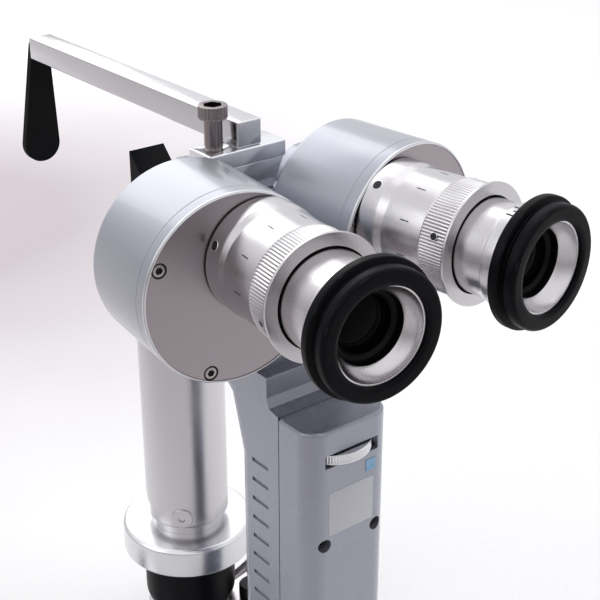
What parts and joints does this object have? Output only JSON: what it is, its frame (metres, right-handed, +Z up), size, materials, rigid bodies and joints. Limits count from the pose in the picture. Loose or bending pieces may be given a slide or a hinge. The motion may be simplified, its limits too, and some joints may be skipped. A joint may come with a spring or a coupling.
{
  "type": "slit lamp",
  "caption": "Hand-held binocular slit lamp with convergent eyepieces on prism drums, forehead rest bar and a swinging slit projector on an arc rail.",
  "frame": {"origin": "centre of the handle's foot, on its bottom face", "axes": "+Z up, +Y towards the patient, +X the examiner's right"},
  "size_m": [0.16, 0.2494, 0.2356],
  "materials": {
    "drum_paint": "silver-white semi-gloss paint on cast aluminium",
    "handle_paint": "silver-grey satin paint on die-cast aluminium",
    "satin_aluminium": "fine-turned, clear anodised",
    "plate_aluminium": "satin anodised flat plate",
    "bright_aluminium": "bright anodised",
    "nickel_steel": "nickel-plated steel",
    "dark_screw": "dark oxide screw",
    "black_rubber": "matt moulded rubber",
    "black_anodised": "black anodised",
    "black_plastic": "moulded plastic",
    "pad_foam": "soft moulded pad",
    "optical_glass": "coated optical glass",
    "front_mirror": "front-silvered mirror",
    "indicator_blue": "translucent light-blue window",
    "board_green": "circuit board",
    "contact_brass": "plated contact",
    "battery_can": "sleeved lithium-ion cell"
  },
  "bodies": {
    "root": {"handle_frame": "handle_paint", "handle_front_cover": "handle_paint", "foot_cap": "black_plastic", "charge_contacts": "contact_brass", "cover_screws": "dark_screw", "indicator_lens": "indicator_blue", "control_board": "board_green", "battery_cell": "battery_can", "battery_tray": "black_plastic", "head_body": "handle_paint", "top_bracket": "handle_paint", "objective_cells": "black_anodised", "objective_lenses": "optical_glass", "fixed_prisms": "optical_glass", "drum_spigots": "satin_aluminium", "arm_bracket": "handle_paint", "arc_rail": "satin_aluminium", "rail_stops": "black_anodised"},
    "forehead_rest": {"forehead_bar": "bright_aluminium", "forehead_pad": "pad_foam"},
    "clamp": {"clamp_screw": "nickel_steel"},
    "brightness": {"brightness_wheel": "bright_aluminium"},
    "illumination": {"carriage": "satin_aluminium", "lamp_housing": "black_anodised", "lamp_board": "satin_aluminium", "condenser_lens": "optical_glass", "projector_hub": "black_anodised", "column_tube": "satin_aluminium", "column_screw": "dark_screw", "projection_lens": "optical_glass", "mirror_holder": "black_anodised", "mirror": "front_mirror"},
    "slit_ring": {"slit_width_ring": "bright_aluminium"},
    "blade_left": {"slit_blade_left": "black_anodised"},
    "blade_right": {"slit_blade_right": "black_anodised"},
    "lock_knob": {"swing_lock_knob": "black_plastic"},
    "drum_left": {"drum_shell_left": "drum_paint", "drum_plate_left": "plate_aluminium", "plate_screws_left": "nickel_steel", "prism_seat_left": "black_anodised", "drum_prism_left": "optical_glass", "eyepiece_tube_left": "satin_aluminium", "tube_screws_left": "dark_screw"},
    "ring_left": {"diopter_ring_left": "satin_aluminium"},
    "ocular_left": {"eyepiece_left": "satin_aluminium", "lens_lock_ring_left": "black_anodised", "eyepiece_lenses_left": "optical_glass", "eyecup_left": "black_rubber"},
    "drum_right": {"drum_shell_right": "drum_paint", "drum_plate_right": "plate_aluminium", "plate_screws_right": "nickel_steel", "prism_seat_right": "black_anodised", "drum_prism_right": "optical_glass", "eyepiece_tube_right": "satin_aluminium", "tube_screws_right": "dark_screw"},
    "ring_right": {"diopter_ring_right": "satin_aluminium"},
    "ocular_right": {"eyepiece_right": "satin_aluminium", "lens_lock_ring_right": "black_anodised", "eyepiece_lenses_right": "optical_glass", "eyecup_right": "black_rubber"}
  },
  "joints": [
    {"name": "pupil_distance_left", "type": "hinge", "parent": "root", "child": "drum_left", "pos_m": [-0.04067, -0.06797, 0.19581], "axis": [0.108, 0.9942, 0], "range_deg": [-30, 50]},
    {"name": "focus_left", "type": "slide", "parent": "drum_left", "child": "ocular_left", "axis": [0.108, 0.9942, 0], "range_m": [-0.0018, 0.0042]},
    {"name": "diopter_left", "type": "hinge", "parent": "drum_left", "child": "ring_left", "pos_m": [-0.033, -0.0688, 0.205], "axis": [0.108, 0.9942, 0], "range_deg": [-72.5, 168.5]},
    {"name": "pupil_distance_right", "type": "hinge", "parent": "root", "child": "drum_right", "pos_m": [0.04067, -0.06797, 0.19581], "axis": [-0.108, 0.9942, 0], "range_deg": [-50, 30]},
    {"name": "focus_right", "type": "slide", "parent": "drum_right", "child": "ocular_right", "axis": [-0.108, 0.9942, 0], "range_m": [-0.0042, 0.0018]},
    {"name": "diopter_right", "type": "hinge", "parent": "drum_right", "child": "ring_right", "pos_m": [0.033, -0.0688, 0.205], "axis": [-0.108, 0.9942, 0], "range_deg": [-168.5, 72.5]},
    {"name": "forehead_slide", "type": "slide", "parent": "root", "child": "forehead_rest", "axis": [0, 1, 0], "range_m": [-0.026, 0]},
    {"name": "clamp_turn", "type": "hinge", "parent": "root", "child": "clamp", "pos_m": [-0.0093, 0.0394, 0.23], "axis": [0, 0, 1], "range_deg": [0, 180]},
    {"name": "brightness_turn", "type": "hinge", "parent": "root", "child": "brightness", "pos_m": [0, -0.0091, 0.1335], "axis": [0, 0, 1], "range_deg": [-135, 135]},
    {"name": "illumination_swing", "type": "hinge", "parent": "root", "child": "illumination", "pos_m": [0, 0.179, 0], "axis": [0, 0, 1], "range_deg": [-30, 30]},
    {"name": "slit_width", "type": "hinge", "parent": "illumination", "child": "slit_ring", "pos_m": [0, 0.079, 0.05], "axis": [0, 0, 1], "range_deg": [0, 150]},
    {"name": "slit_left", "type": "slide", "parent": "illumination", "child": "blade_left", "axis": [-1, 0, 0], "range_m": [0, 0.0025]},
    {"name": "slit_right", "type": "slide", "parent": "illumination", "child": "blade_right", "axis": [1, 0, 0], "range_m": [0, 0.0025]},
    {"name": "swing_lock", "type": "hinge", "parent": "illumination", "child": "lock_knob", "pos_m": [0.01941, 0.06301, 0.02], "axis": [0, 0, 1], "range_deg": [0, 180]}
  ],
  "couplings": [
    {"joint": "diopter_left", "follows": "focus_left", "rad_per_m": 698.13},
    {"joint": "diopter_right", "follows": "focus_right", "rad_per_m": 698.13},
    {"joint": "slit_left", "follows": "slit_width", "m_per_rad": 0.00095492},
    {"joint": "slit_right", "follows": "slit_width", "m_per_rad": 0.00095492}
  ]
}
